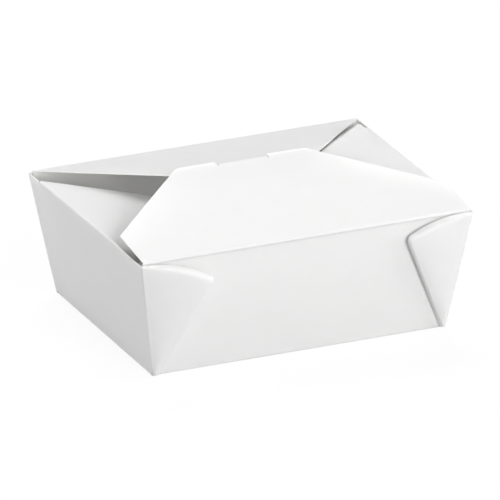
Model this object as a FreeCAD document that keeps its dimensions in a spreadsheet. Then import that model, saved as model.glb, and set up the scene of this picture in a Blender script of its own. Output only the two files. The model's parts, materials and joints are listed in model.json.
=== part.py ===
"""A takeout food box folded from one sheet of white paperboard, closed.

The sheet is followed panel by panel: floor, four flared walls, the webs that
close the corners, two side flaps, the back flap with its lock slit, and the
front flap with its tongue, which opens first and turns on its own crease.
Lengths are millimetres and angles are degrees. The origin is the middle of
the underside, +X runs along the long walls, +Y to the back, +Z up.
"""
import FreeCAD
import Part
import Sketcher
import math
import os

doc = FreeCAD.newDocument("takeout_box")

# Numbers by which a sketch names its own origin and the two ends of a line or arc
ORIGIN_ID, START_ID, END_ID = -1, 1, 2

# Driving sizes of the box
sizes = doc.addObject("Spreadsheet::Sheet", "sizes")
DRIVING_SIZES = [
    ("bottom_length", 157, "underside along X, outside"),
    ("bottom_width", 117.5, "underside along Y, outside"),
    ("rim_length", 180, "rim along X, outside"),
    ("rim_width", 134.5, "rim along Y, outside"),
    ("box_height", 64, "underside to the rim"),
    ("board", 0.5, "thickness of the paperboard"),
    ("crease_radius", 0.4, "inside radius of a scored crease"),
    ("ply_gap", 0.4, "air between plies folded over each other"),
    ("web_spring", 3.5, "angle by which a folded web springs off the wall"),
    ("web_short", 6.6, "by how much the web's fold is shorter than the corner line"),
    ("web_shoulder", 21, "straight end of the web, from the tip"),
    ("web_shoulder_radius", 60, "rounding between the two top edges of the web"),
    ("web_tip_radius", 2.5, "rounding of the web's tip"),
    ("side_drop", 1, "side flap's crease below the rim"),
    ("side_flap_dip", 2, "fall of a side flap towards the middle"),
    ("side_flap_reach", 45, "side flap from crease to free edge"),
    ("side_flap_margin", 12.5, "rim corner to the end of the side flap's crease"),
    ("side_flap_taper", 41, "angle by which each side of a side flap slants in"),
    ("side_flap_radius", 9, "corners of a side flap"),
    ("side_flap_relief", 0.6, "notch beside the side flap's crease"),
    ("front_flap_rise", 8, "rise of the front flap from its crease"),
    ("front_flap_side", 27.8, "straight side of the front flap"),
    ("front_flap_shoulder", 88.4, "half width where the slanted side begins"),
    ("front_flap_brim", 2.5, "front flap's free edge past the tongue's bend"),
    ("front_flap_edge", 35, "half width of the front flap's free edge"),
    ("front_flap_radius", 3, "corners of the front flap"),
    ("back_flap_rise", 9.7, "rise of the back flap from its crease"),
    ("back_flap_slope", 39.4, "slant of the back flap's sides from the Y direction"),
    ("back_lip_reach", 17, "back flap's lip under the front flap"),
    ("back_lip_radius", 8, "corners of the lip"),
    ("flap_clearance", 0.3, "air between the front flap and the lip"),
    ("hinge_clearance", 0.15, "air between the front crease and its wall"),
    ("tongue_width", 25.8, "locking tongue along the crease"),
    ("tongue_past_ridge", 1.1, "ridge to the tongue's bend, along the front flap"),
    ("tongue_bend", 85, "turn of the tongue down from the flap"),
    ("tongue_reach", 6, "tongue below its bend"),
    ("tongue_taper", 2.5, "narrowing of the tongue at each side"),
    ("tongue_radius", 2, "corners of the tongue"),
    ("tongue_notch", 1.2, "cut beside the tongue"),
    ("slit_play", 0.35, "air around the tongue in its slit"),
]
for row, (alias, value, meaning) in enumerate(DRIVING_SIZES, start=1):
    sizes.set(f"A{row}", meaning)
    sizes.set(f"B{row}", str(value))
    sizes.setAlias(f"B{row}", alias)
doc.recompute()

# Sizes and places that follow from the driving sizes
form = doc.addObject("App::VarSet", "form")


def follow(name, formula):
    """Keep a number that follows from the sheet."""
    form.addProperty("App::PropertyFloat", name)
    form.setExpression(name, formula)


def place(name, formula):
    """Keep the frame of a panel or crease: X along the crease, Y onwards, Z out of the box."""
    form.addProperty("App::PropertyPlacement", name)
    form.setExpression(name, formula)


def moved(along, onwards, out):
    """A shift inside a frame."""
    return f"placement(vector({along}; {onwards}; {out}); rotation(vector(0; 0; 1); 0))"


def turned(axis, angle):
    """A turn inside a frame about its own X, Y or Z."""
    direction = {"X": "vector(1; 0; 0)", "Y": "vector(0; 1; 0)", "Z": "vector(0; 0; 1)"}[axis]
    return f"placement(vector(0; 0; 0); rotation({direction}; {angle}))"


# Walls: how far they lean out, their length up the slope, and their creases
follow("length_flare", "(sizes.rim_length - sizes.bottom_length) / 2")
follow("width_flare", "(sizes.rim_width - sizes.bottom_width) / 2")
follow("long_lean", "atan(form.width_flare / sizes.box_height) / 1deg")
follow("side_lean", "atan(form.length_flare / sizes.box_height) / 1deg")
follow("long_slope", "sqrt(sizes.box_height ^ 2 + form.width_flare ^ 2)")
follow("side_slope", "sqrt(sizes.box_height ^ 2 + form.length_flare ^ 2)")
follow("outer_radius", "sizes.crease_radius + sizes.board")
follow("long_setback", "form.outer_radius * tan((90 - form.long_lean) / 2)")
follow("side_setback", "form.outer_radius * tan((90 - form.side_lean) / 2)")

# Corners: each wall's edge leans by its fan, and the walls meet at the join
follow("long_fan", "atan(form.length_flare / form.long_slope) / 1deg")
follow("side_fan", "atan(form.width_flare / form.side_slope) / 1deg")
follow("wall_join", "acos(sin(form.long_lean) * sin(form.side_lean)) / 1deg")
follow("web_angle", "(90 - form.long_fan - form.side_fan) / 2")

# Pleat: three plies deep, its first fold set in so that it clears the side wall
follow("pleat_inset", "2 * sizes.board + 1.5 * sizes.ply_gap")
follow("inner_ply_height", "sizes.ply_gap / 2")
follow("edge_fold_height", "sizes.ply_gap + sizes.board")
follow("outer_ply_height", "1.5 * sizes.ply_gap + sizes.board")
follow("outer_fold_height", "form.outer_ply_height - sizes.crease_radius")
follow(
    "outer_fold_out",
    "(form.outer_fold_height + cos(sizes.web_spring) * sizes.ply_gap / 2"
    " + sin(sizes.web_spring) * (form.outer_radius / sin(form.wall_join) - form.pleat_inset))"
    " / (cos(sizes.web_spring) - sin(sizes.web_spring) / tan(form.wall_join))",
)
follow(
    "outer_fold_in",
    "(form.outer_radius + cos(form.wall_join) * form.outer_fold_out) / sin(form.wall_join)",
)
follow(
    "outer_fold_along",
    "cos(sizes.web_spring) * (form.outer_fold_in - form.pleat_inset)"
    " + sin(sizes.web_spring) * (form.outer_fold_out - sizes.ply_gap / 2)",
)
follow(
    "side_overhang",
    "form.outer_fold_in * cos(form.wall_join) + form.outer_fold_out * sin(form.wall_join)",
)

# Side flap: its crease lies lower than the rim, and the wall beside it ends in shoulders at that crease
follow("side_flap_turn", "90 + form.side_lean + sizes.side_flap_dip")
follow("side_flap_setback", "form.outer_radius * tan(form.side_flap_turn / 2)")
follow(
    "side_wall_top",
    "form.side_slope * (1 - sizes.side_drop / sizes.box_height)"
    " - form.side_flap_setback - form.side_setback",
)
follow(
    "side_shoulder_top",
    "form.side_wall_top + (sizes.crease_radius + sizes.board / 2) * form.side_flap_turn * pi / 360",
)
follow("web_top", "(form.side_shoulder_top + form.side_setback) / cos(form.side_fan)")
follow("side_flap_half", "sizes.rim_width / 2 - sizes.side_flap_margin")
follow("side_flap_end_half", "form.side_flap_half - sizes.side_flap_reach * tan(sizes.side_flap_taper)")

# Front flap: it turns about the middle of the board at the rim
follow("flap_half", "sizes.rim_length / 2 - form.pleat_inset / cos(form.long_fan)")
follow("front_wall_top", "form.long_slope - form.long_setback - sizes.board - sizes.hinge_clearance")
follow("hinge_up", "form.long_slope - form.long_setback - sizes.board / 2")

# Back flap: the ridge lies where its top comes a clearance under the front flap
follow("back_flap_turn", "90 + form.long_lean - sizes.back_flap_rise")
follow("back_flap_setback", "form.outer_radius * tan(form.back_flap_turn / 2)")
follow("back_wall_top", "form.long_slope - form.long_setback - form.back_flap_setback")
follow("ridge_turn", "sizes.front_flap_rise + sizes.back_flap_rise")
follow("hinge_in", "sizes.board / 2 * (cos(form.long_lean) + sin(form.long_lean))")
follow("hinge_drop", "sizes.board / 2 * (cos(form.long_lean) - sin(form.long_lean))")
follow("hinge_to_back_rim", "sizes.rim_width - form.hinge_in")
follow(
    "ridge_back",
    "(form.hinge_to_back_rim * tan(sizes.front_flap_rise) - form.hinge_drop"
    " - (sizes.board / 2 + sizes.flap_clearance) / cos(sizes.front_flap_rise))"
    " / (tan(sizes.front_flap_rise) + tan(sizes.back_flap_rise))",
)
follow(
    "ridge_reach",
    "form.ridge_back / cos(sizes.back_flap_rise) - form.back_flap_setback"
    " - sizes.board * tan(form.ridge_turn / 2)",
)
follow("ridge_half", "form.flap_half - form.ridge_reach * tan(sizes.back_flap_slope)")
follow("lip_half", "form.ridge_half - sizes.back_lip_reach * tan(sizes.back_flap_slope)")

# Tongue: it bends down just past the ridge, and the front flap ends a brim further on
follow(
    "tongue_root",
    "(form.hinge_to_back_rim - form.ridge_back) / cos(sizes.front_flap_rise) + sizes.tongue_past_ridge",
)
follow("front_flap_reach", "form.tongue_root + sizes.front_flap_brim")

# Web outline: a short top edge level with the wall, then the end square to the fold
follow("web_start", "form.outer_radius")
follow(
    "web_reach",
    "sqrt(sizes.box_height ^ 2 + form.length_flare ^ 2 + form.width_flare ^ 2) - sizes.web_short",
)
follow("web_tip_in", "form.web_reach * sin(form.web_angle)")
follow("web_tip_up", "form.web_reach * cos(form.web_angle)")
follow("web_knee_in", "form.web_tip_in - sizes.web_shoulder * cos(form.web_angle)")
follow("web_knee_up", "form.web_tip_up + sizes.web_shoulder * sin(form.web_angle)")
follow("point_radius", "2 * (sizes.board + sizes.ply_gap)")

# Slit: it clears the tongue on the whole arc by which the front flap lifts it out
follow("tongue_fall", "sizes.tongue_bend - sizes.front_flap_rise")
follow("tongue_axis_drop", "form.outer_radius - sizes.board / 2")
follow(
    "tongue_axis_back",
    "form.tongue_root * cos(sizes.front_flap_rise) + form.tongue_axis_drop * sin(sizes.front_flap_rise)",
)
follow(
    "tongue_axis_up",
    "form.tongue_root * sin(sizes.front_flap_rise) - form.tongue_axis_drop * cos(sizes.front_flap_rise)",
)
follow(
    "tongue_inner_arc",
    "sqrt((form.tongue_axis_back + sizes.crease_radius * sin(form.tongue_fall)) ^ 2"
    " + (form.tongue_axis_up + sizes.crease_radius * cos(form.tongue_fall)) ^ 2)",
)
follow(
    "tongue_outer_arc",
    "sqrt((form.tongue_axis_back + form.outer_radius * sin(form.tongue_fall)"
    " + sizes.tongue_reach * cos(form.tongue_fall)) ^ 2"
    " + (form.tongue_axis_up + form.outer_radius * cos(form.tongue_fall)"
    " - sizes.tongue_reach * sin(form.tongue_fall)) ^ 2)",
)
follow(
    "slit_level",
    "form.hinge_drop + (form.hinge_to_back_rim - form.tongue_axis_back) * tan(sizes.back_flap_rise)",
)
follow(
    "slit_far",
    "(form.hinge_to_back_rim + sizes.slit_play - sqrt(form.tongue_inner_arc ^ 2 - form.slit_level ^ 2))"
    " / cos(sizes.back_flap_rise) - form.back_flap_setback",
)
follow(
    "slit_near",
    "(form.hinge_to_back_rim - sizes.slit_play"
    " - sqrt(form.tongue_outer_arc ^ 2 - (form.slit_level - sizes.board) ^ 2))"
    " / cos(sizes.back_flap_rise) - form.back_flap_setback",
)
follow("slit_half", "sizes.tongue_width / 2 + sizes.tongue_notch")
follow("slit_end_radius", "0.45 * (form.slit_far - form.slit_near)")

# Frames of the walls
for name, quarter, half, setback in [
    ("front", 0, "sizes.bottom_width / 2", "form.long_setback"),
    ("back", 180, "sizes.bottom_width / 2", "form.long_setback"),
    ("left", -90, "sizes.bottom_length / 2", "form.side_setback"),
]:
    lean = "form.side_lean" if name == "left" else "form.long_lean"
    fold = f"{turned('Z', quarter)} * {moved(0, f'{setback} - {half}', 'form.outer_radius')}"
    place(f"{name}_fold", f"{fold} * {turned('X', 180)}")
    place(f"{name}_wall", f"form.{name}_fold * {turned('X', f'{lean} - 90')}")

# Frames of the flaps
place("side_flap_crease", f"form.left_wall * {moved(0, 'form.side_wall_top', 0)}")
place("side_flap", f"form.side_flap_crease * {turned('X', '-form.side_flap_turn')}")
place("back_flap_crease", f"form.back_wall * {moved(0, 'form.back_wall_top', 0)}")
place("back_flap", f"form.back_flap_crease * {turned('X', '-form.back_flap_turn')}")
place("ridge", f"form.back_flap * {moved(0, 'form.ridge_reach', 'sizes.crease_radius')}")
place("back_lip", f"form.ridge * {turned('X', '-form.ridge_turn')}")
place(
    "front_flap",
    f"form.front_wall * {moved(0, 'form.hinge_up', 'form.outer_radius - sizes.board / 2')}"
    f" * {turned('X', 'sizes.front_flap_rise - 90 - form.long_lean')}",
)
place(
    "tongue_crease",
    f"form.front_flap * {moved(0, 'form.tongue_root', '-form.outer_radius + sizes.board / 2')}",
)
place("tongue", f"form.tongue_crease * {turned('X', '-sizes.tongue_bend')}")

# Frames of the pleat at the front left corner
place(
    "corner",
    f"form.front_wall * {moved('-sizes.bottom_length / 2', '-form.long_setback', 'form.outer_radius')}"
    f" * {turned('Z', 'form.long_fan')} * {moved('form.pleat_inset', 0, 'sizes.ply_gap / 2')}",
)
place("web", f"form.corner * {turned('Y', '-sizes.web_spring')}")
place("inner_fold", f"form.corner * {turned('Z', -90)} * {turned('X', 180)}")
place("inner_ply", f"form.web * {moved(0, 0, 'form.inner_ply_height')}")
place(
    "edge_fold",
    f"form.web * {moved(0, 0, 'form.edge_fold_height')}"
    f" * {turned('Z', '90 - form.web_angle')} * {turned('X', 180)}",
)
place("outer_ply", f"form.web * {moved(0, 0, 'form.outer_ply_height')}")
place(
    "outer_fold",
    f"form.web * {moved('form.outer_fold_along', 0, 'form.outer_fold_height')} * {turned('Z', 90)}",
)
doc.recompute()


def origin_plane(body, role):
    """One of the three planes through a body's origin."""
    return next(feature for feature in body.Origin.OriginFeatures if feature.Role == role)


def outline_sketch(body, name, frame, corners):
    """A closed outline in a frame, its corners (x, y) or (x, y, rounding radius), all from the sheet."""
    sketch = body.newObject("Sketcher::SketchObject", name)
    sketch.AttachmentSupport = [(origin_plane(body, "XY_Plane"), "")]
    sketch.MapMode = "FlatFace"
    sketch.setExpression("AttachmentOffset", frame)
    count = len(corners)
    points = [
        FreeCAD.Vector(*(sketch.evalExpression(str(number)) for number in corner[:2]), 0)
        for corner in corners
    ]
    sides = [(points[(index + 1) % count] - points[index]).normalize() for index in range(count)]
    rounded = {}
    for index, corner in enumerate(corners):
        if len(corner) > 2:
            radius = sketch.evalExpression(str(corner[2]))
            rounded[index] = radius * math.tan(sides[index - 1].getAngle(sides[index]) / 2)

    for index in range(count):
        start = points[index] + sides[index] * rounded.get(index, 0)
        following = (index + 1) % count
        end = points[following] - sides[index] * rounded.get(following, 0)
        sketch.addGeometry(Part.LineSegment(start, end), False)

    def measure(kind, formula, *ends):
        """A driving measure, bound to its formula."""
        number = sketch.evalExpression(str(formula))
        constraint = sketch.addConstraint(Sketcher.Constraint(kind, *ends, number))
        sketch.setExpression(f"Constraints[{constraint}]", str(formula))

    for index, corner in enumerate(corners):
        before = (index - 1) % count
        if index not in rounded:
            sketch.addConstraint(Sketcher.Constraint("Coincident", before, END_ID, index, START_ID))
            measure("DistanceX", corner[0], ORIGIN_ID, START_ID, index, START_ID)
            measure("DistanceY", corner[1], ORIGIN_ID, START_ID, index, START_ID)
            continue
        bend = sides[before].cross(sides[index]).z
        inward = FreeCAD.Vector(-sides[before].y, sides[before].x, 0) * math.copysign(1, bend)
        radius = sketch.evalExpression(str(corner[2]))
        centre = points[index] - sides[before] * rounded[index] + inward * radius
        spokes = [
            points[index] - sides[before] * rounded[index] - centre,
            points[index] + sides[index] * rounded[index] - centre,
        ]
        if bend < 0:
            spokes.reverse()
        angles = [math.atan2(spoke.y, spoke.x) for spoke in spokes]
        circle = Part.Circle(centre, FreeCAD.Vector(0, 0, 1), radius)
        arc = sketch.addGeometry(Part.ArcOfCircle(circle, *angles), False)
        vertex = sketch.addGeometry(Part.Point(points[index]), True)
        arc_ends = (START_ID, END_ID) if bend > 0 else (END_ID, START_ID)
        sketch.addConstraint(
            [
                Sketcher.Constraint("Tangent", before, END_ID, arc, arc_ends[0]),
                Sketcher.Constraint("Tangent", index, START_ID, arc, arc_ends[1]),
                Sketcher.Constraint("PointOnObject", vertex, START_ID, before),
                Sketcher.Constraint("PointOnObject", vertex, START_ID, index),
            ]
        )
        measure("DistanceX", corner[0], ORIGIN_ID, START_ID, vertex, START_ID)
        measure("DistanceY", corner[1], ORIGIN_ID, START_ID, vertex, START_ID)
        measure("Radius", corner[2], arc)
    return sketch


def panel(body, name, frame, height, corners):
    """A flat panel of board, its inner face at a height above the frame."""
    raised = f"{frame} * {moved(0, 0, height)}"
    pad = body.newObject("PartDesign::Pad", name)
    pad.Profile = outline_sketch(body, f"{name}_outline", raised, corners)
    pad.setExpression("Length", "sizes.board")
    return pad


def fold(body, name, frame, inner_radius, ends, turn, thickness="sizes.board"):
    """A fold: the section of the board, turned about the crease from the panel before it."""
    start, end = ends
    section = [
        (start, inner_radius),
        (end, inner_radius),
        (end, f"{inner_radius} + {thickness}"),
        (start, f"{inner_radius} + {thickness}"),
    ]
    bend = body.newObject("PartDesign::Revolution", name)
    bend.Profile = outline_sketch(body, f"{name}_section", f"{frame} * {turned('X', 90)}", section)
    bend.ReferenceAxis = (bend.Profile[0], ["H_Axis"])
    bend.Reversed = True
    bend.setExpression("Angle", turn)
    return bend


def both_halves(left):
    """A whole outline from its left half, which is given from the free edge down to the crease."""
    return left + [(f"-({corner[0]})", *corner[1:]) for corner in reversed(left)]


carton = doc.addObject("PartDesign::Body", "carton")

# Floor
floor_half_length = "sizes.bottom_length / 2 - form.side_setback"
floor_half_width = "sizes.bottom_width / 2 - form.long_setback"
floor_side = [
    (f"-({floor_half_length})", floor_half_width),
    (f"-({floor_half_length})", f"-({floor_half_width})"),
]
panel(carton, "floor", moved(0, 0, 0), 0, both_halves(floor_side))


# Long walls, front and back, their side edges set in for the pleats
def long_wall_corner(height):
    """The left edge of a long wall at a height above its fold."""
    fan_start = "form.pleat_inset / cos(form.long_fan) - sizes.bottom_length / 2"
    return (f"{fan_start} - ({height} + form.long_setback) * tan(form.long_fan)", height)


for name in ("front", "back"):
    fold(carton, f"{name}_fold", f"form.{name}_fold", "sizes.crease_radius",
         (f"-({floor_half_length})", floor_half_length), "90 - form.long_lean")
    wall_edge = [long_wall_corner(f"form.{name}_wall_top"), long_wall_corner("0")]
    panel(carton, f"{name}_wall", f"form.{name}_wall", "sizes.crease_radius", both_halves(wall_edge))

# Back flap: straight slanted sides up to the ridge, and the lip that runs on under the front flap
fold(carton, "back_flap_crease", "form.back_flap_crease", "sizes.crease_radius",
     ("-form.flap_half", "form.flap_half"), "form.back_flap_turn")
back_flap_edge = [("-form.ridge_half", "form.ridge_reach"), ("-form.flap_half", "0")]
panel(carton, "back_flap", "form.back_flap", "sizes.crease_radius", both_halves(back_flap_edge))
fold(carton, "ridge", "form.ridge", 0, ("-form.ridge_half", "form.ridge_half"), "form.ridge_turn")
lip_edge = [
    ("-form.lip_half", "sizes.back_lip_reach", "sizes.back_lip_radius"),
    ("-form.ridge_half", "0"),
]
panel(carton, "back_lip", "form.back_lip", 0, both_halves(lip_edge))

# Lock slit: wide enough for the tongue to swing out of it, with the front flap's own turn
slit_edge = [
    ("-form.slit_half", "form.slit_far", "form.slit_end_radius"),
    ("-form.slit_half", "form.slit_near", "form.slit_end_radius"),
]
slit = carton.newObject("PartDesign::Pocket", "lock_slit")
slit_frame = f"form.back_flap * {moved(0, 0, 'form.outer_radius')}"
slit.Profile = outline_sketch(carton, "lock_slit_outline", slit_frame, both_halves(slit_edge))
slit.setExpression("Length", "2 * sizes.board")


# Side walls and side flaps: the left ones, then their mirror images
def side_wall_corner(height):
    """The back edge of the left wall at a height above its fold, past the corner line by the overhang."""
    fan_start = "-(sizes.bottom_width / 2 + form.side_overhang / cos(form.side_fan))"
    return (f"{fan_start} - ({height} + form.side_setback) * tan(form.side_fan)", height)


relief_edge = "-(form.side_flap_half + sizes.side_flap_relief)"
side_features = [
    fold(carton, "left_fold", "form.left_fold", "sizes.crease_radius",
         (f"-({floor_half_width})", floor_half_width), "90 - form.side_lean"),
    panel(carton, "left_wall", "form.left_wall", "sizes.crease_radius",
          both_halves([(relief_edge, "form.side_wall_top"),
                       (relief_edge, "form.side_shoulder_top"),
                       side_wall_corner("form.side_shoulder_top"),
                       side_wall_corner("0")])),
    fold(carton, "left_flap_crease", "form.side_flap_crease", "sizes.crease_radius",
         ("-form.side_flap_half", "form.side_flap_half"), "form.side_flap_turn"),
    panel(carton, "left_flap", "form.side_flap", "sizes.crease_radius",
          both_halves([("-form.side_flap_end_half", "sizes.side_flap_reach", "sizes.side_flap_radius"),
                       ("-form.side_flap_half", "0")])),
]
right_side = carton.newObject("PartDesign::Mirrored", "right_side")
right_side.Originals = side_features
right_side.MirrorPlane = (origin_plane(carton, "YZ_Plane"), [""])
carton.Tip = right_side

# Webs: each corner's spare board is pleated and folded flat against the long wall
def web_ply(name, frame, corner_edge):
    """One ply of a web between its corner edge and the fold, ending square to the fold at the tip."""
    outline = [
        (corner_edge, "form.web_start"),
        ("form.web_start * tan(form.web_angle)", "form.web_start"),
        ("form.web_tip_in", "form.web_tip_up", "sizes.web_tip_radius"),
        ("form.web_knee_in", "form.web_knee_up", "sizes.web_shoulder_radius"),
        (corner_edge, "form.web_top"),
    ]
    return panel(carton, name, frame, 0, outline)


web_features = [
    fold(carton, "inner_fold", "form.inner_fold", "form.inner_ply_height",
         ("-form.web_top", "-form.web_start"), "180 - sizes.web_spring"),
    web_ply("inner_ply", "form.inner_ply", "0"),
    fold(carton, "edge_fold", "form.edge_fold", "form.inner_ply_height",
         ("form.web_start / cos(form.web_angle)", "form.web_reach - sizes.web_tip_radius"), "180"),
    web_ply("outer_ply", "form.outer_ply", "form.outer_fold_along"),
    fold(carton, "outer_fold", "form.outer_fold", "sizes.crease_radius",
         ("form.web_start", "form.web_top"), "form.wall_join - sizes.web_spring"),
]
corner_point = carton.newObject("PartDesign::AdditiveSphere", "corner_point")
corner_point.AttachmentSupport = [(origin_plane(carton, "XY_Plane"), "")]
corner_point.MapMode = "FlatFace"
corner_point.setExpression("Radius", "form.point_radius")
corner_point.setExpression(
    "AttachmentOffset",
    moved("form.outer_radius - sizes.bottom_length / 2", "-sizes.bottom_width / 2", "form.point_radius"),
)
web_features.append(corner_point)

other_corners = carton.newObject("PartDesign::MultiTransform", "other_corners")
mirrors = []
for name, role in (("web_mirror_length", "YZ_Plane"), ("web_mirror_width", "XZ_Plane")):
    mirror = carton.newObject("PartDesign::Mirrored", name)
    mirror.MirrorPlane = (origin_plane(carton, role), [""])
    mirrors.append(mirror)
other_corners.Originals = web_features
other_corners.Transformations = mirrors
carton.Tip = other_corners

# Front flap: the crease's roll, the flap with its tongue notches, and the tongue bent down
front_flap = doc.addObject("PartDesign::Body", "front_flap")
tongue_half = "sizes.tongue_width / 2"
notch_half = f"({tongue_half} + sizes.tongue_notch)"
flap_edge = [
    (f"-{tongue_half}", "form.tongue_root"),
    (f"-{tongue_half}", "form.tongue_root - sizes.tongue_notch"),
    (f"-{notch_half}", "form.tongue_root - sizes.tongue_notch"),
    (f"-{notch_half}", "form.front_flap_reach"),
    ("-sizes.front_flap_edge", "form.front_flap_reach", "sizes.front_flap_radius"),
    ("-sizes.front_flap_shoulder", "sizes.front_flap_side", "sizes.front_flap_radius"),
    ("-form.flap_half", "0"),
]
panel(front_flap, "flap_panel", "form.front_flap", "-sizes.board / 2", both_halves(flap_edge))
fold(front_flap, "flap_roll", "form.front_flap", 0, ("-form.flap_half", "form.flap_half"), "360",
     thickness="sizes.board / 2")
fold(front_flap, "tongue_crease", "form.tongue_crease", "sizes.crease_radius",
     (f"-{tongue_half}", tongue_half), "sizes.tongue_bend")
tongue_edge = [
    (f"sizes.tongue_taper - {tongue_half}", "sizes.tongue_reach", "sizes.tongue_radius"),
    (f"-{tongue_half}", "0"),
]
panel(front_flap, "tongue", "form.tongue", "sizes.crease_radius", both_halves(tongue_edge))

doc.recompute()
faults = [thing.Name for thing in doc.Objects if {"Invalid", "Error"} & set(thing.State)]
for piece in (carton, front_flap):
    if piece.Shape.isNull() or not piece.Shape.isValid():
        faults.append(piece.Label)
if faults:
    raise RuntimeError("failed: " + ", ".join(faults))

os.makedirs("parts", exist_ok=True)
for piece in (carton, front_flap):
    piece.Shape.exportStep(os.path.join("parts", f"{piece.Label}.step"))
    box = piece.Shape.BoundBox
    print(piece.Label, len(piece.Shape.Solids), round(piece.Shape.Volume, 1), len(piece.Shape.Faces), box)
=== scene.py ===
"""The looks of a closed takeout box, folded from one sheet of white paperboard.

The board is worked out as grids of points on the middle of its thickness: one
strip across the box, one at each end, a pleated web at each corner and the
front flap. A gentle settling bows them all alike, and then each grid gets its
thickness.
Lengths are metres, +X runs along the long walls, +Y to the back and +Z up.
"""

import json
import math

import bpy
import numpy as np
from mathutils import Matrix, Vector


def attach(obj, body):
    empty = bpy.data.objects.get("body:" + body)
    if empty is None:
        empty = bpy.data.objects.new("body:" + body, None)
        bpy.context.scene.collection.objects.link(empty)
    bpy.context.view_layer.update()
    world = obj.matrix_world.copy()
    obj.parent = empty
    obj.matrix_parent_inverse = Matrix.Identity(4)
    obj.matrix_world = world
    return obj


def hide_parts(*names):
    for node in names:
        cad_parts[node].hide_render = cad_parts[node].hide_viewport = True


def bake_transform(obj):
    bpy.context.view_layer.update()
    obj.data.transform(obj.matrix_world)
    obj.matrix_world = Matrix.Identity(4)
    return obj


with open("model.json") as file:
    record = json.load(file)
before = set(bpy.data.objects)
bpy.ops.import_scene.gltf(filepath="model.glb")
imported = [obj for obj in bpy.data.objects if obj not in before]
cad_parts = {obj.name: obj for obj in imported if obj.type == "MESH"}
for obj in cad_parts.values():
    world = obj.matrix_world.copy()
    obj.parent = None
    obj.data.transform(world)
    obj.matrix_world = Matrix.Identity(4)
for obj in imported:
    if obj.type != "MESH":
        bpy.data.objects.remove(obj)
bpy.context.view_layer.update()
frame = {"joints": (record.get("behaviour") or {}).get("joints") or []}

MM = 0.001

# The box and its board, as in the part
BOTTOM_LENGTH = 157 * MM
BOTTOM_WIDTH = 117.5 * MM
RIM_LENGTH = 180 * MM
RIM_WIDTH = 134.5 * MM
BOX_HEIGHT = 64 * MM
BOARD = 0.5 * MM
CREASE_RADIUS = 0.4 * MM
PLY_GAP = 0.4 * MM

# Webs
WEB_SPRING = math.radians(3.5)
WEB_SHORT = 6.6 * MM
WEB_SHOULDER = 21 * MM
WEB_SHOULDER_RADIUS = 60 * MM
WEB_TIP_RADIUS = 2.5 * MM

# Side flaps, and how far the strips of their walls run into the floor
SIDE_DROP = 1 * MM
SIDE_FLOOR_LAP = 2 * MM
SIDE_FLAP_DIP = math.radians(2)
SIDE_FLAP_REACH = 45 * MM
SIDE_FLAP_MARGIN = 12.5 * MM
SIDE_FLAP_TAPER = math.radians(41)
SIDE_FLAP_RADIUS = 9 * MM
SIDE_FLAP_RELIEF = 0.6 * MM

# Front flap and its tongue
FRONT_FLAP_RISE = math.radians(8)
FRONT_FLAP_SIDE = 27.8 * MM
FRONT_FLAP_SHOULDER = 88.4 * MM
FRONT_FLAP_BRIM = 2.5 * MM
FRONT_FLAP_EDGE = 35 * MM
FRONT_FLAP_RADIUS = 3 * MM
TONGUE_HALF = 12.9 * MM
TONGUE_PAST_RIDGE = 1.1 * MM
TONGUE_BEND = math.radians(85)
TONGUE_REACH = 6 * MM
TONGUE_TAPER = 2.5 * MM
TONGUE_RADIUS = 2 * MM
TONGUE_NOTCH = 1.2 * MM

# Back flap, its lip and the lock slit
BACK_FLAP_RISE = math.radians(9.7)
BACK_FLAP_SLOPE = math.radians(39.4)
BACK_LIP_REACH = 17 * MM
BACK_LIP_RADIUS = 8 * MM
FLAP_CLEARANCE = 0.3 * MM
SLIT_PLAY = 0.35 * MM

# How the board has settled: bows of walls, lid and webs, the front left corner, and a faint waviness
WALL_BOW = 1.1 * MM
LID_CROWN = 0.9 * MM
LID_STARTS = 0.9
LID_EASE = 0.1
WEB_BOW = 0.9 * MM
CORNER_PULL = 1.8 * MM
WAVINESS = 0.07 * MM

# How the webs have settled: the outer ply springs open from the fold, and the plies are pinched at the top
# edge. Two webs are turned and longer or shorter
PLY_SPREAD = 1.2 * MM
PLY_PINCH = 0.3 * MM
FOLD_ROUND = 2.0 * MM
LIP_ROUND = 0.8 * MM
WEB_TWIST = {(1, -1): (math.radians(-3), 1.6 * MM), (-1, -1): (math.radians(1), -1.0 * MM)}

# The ends of the side flaps that have curled: how high, how far in from the slanted edge, and in from the
# crease. A curl acts only above a share of the box's height
FLAP_CURLS = {(1, 1): np.array([6.8, 24, 13]) * MM, (-1, -1): np.array([-5, 20, 4]) * MM}
CURL_POWER = 1.5
CURL_MOST = 1.1
CURL_GROWTH = 0.3
CURLS_ABOVE = 0.93

# The puckered points at the bottom corners
POINT_RADIUS = 1.2 * MM
POINT_IN = 0.8 * MM
POINT_BACK = 0.2 * MM

# The front crease is softer than the others, and starts a little down the front wall
FRONT_CREASE_RADIUS = 1.15 * MM
SEAM_DROP = 1.3 * MM

# Fineness of the grids. The webs' rows crowd to the top edge and their columns to the fold, as powers
ARC_STEPS = 10
PANEL_STEP = 2.5 * MM
WEB_ROWS = 45
WEB_COLUMNS = 31
WEB_ROW_POWER = 1.6
WEB_COLUMN_POWER = 1.8
SLIT_MARKS = 5
SLIT_COLUMNS = 13
BESIDE_SLIT_COLUMNS = 30
POINT_COLUMNS = 25
POINT_ROWS = 9

# Digits that tell distances apart, a length and an area next to nothing, and where shading breaks
MARK_DIGITS = 7
HAIR = 1e-9
NO_AREA = MM ** 4
SHARP_ANGLE = math.radians(50)

# The box's corners, by the sides of X and Y on which they lie
CORNERS = ((-1, -1), (-1, 1), (1, -1), (1, 1))

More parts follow.
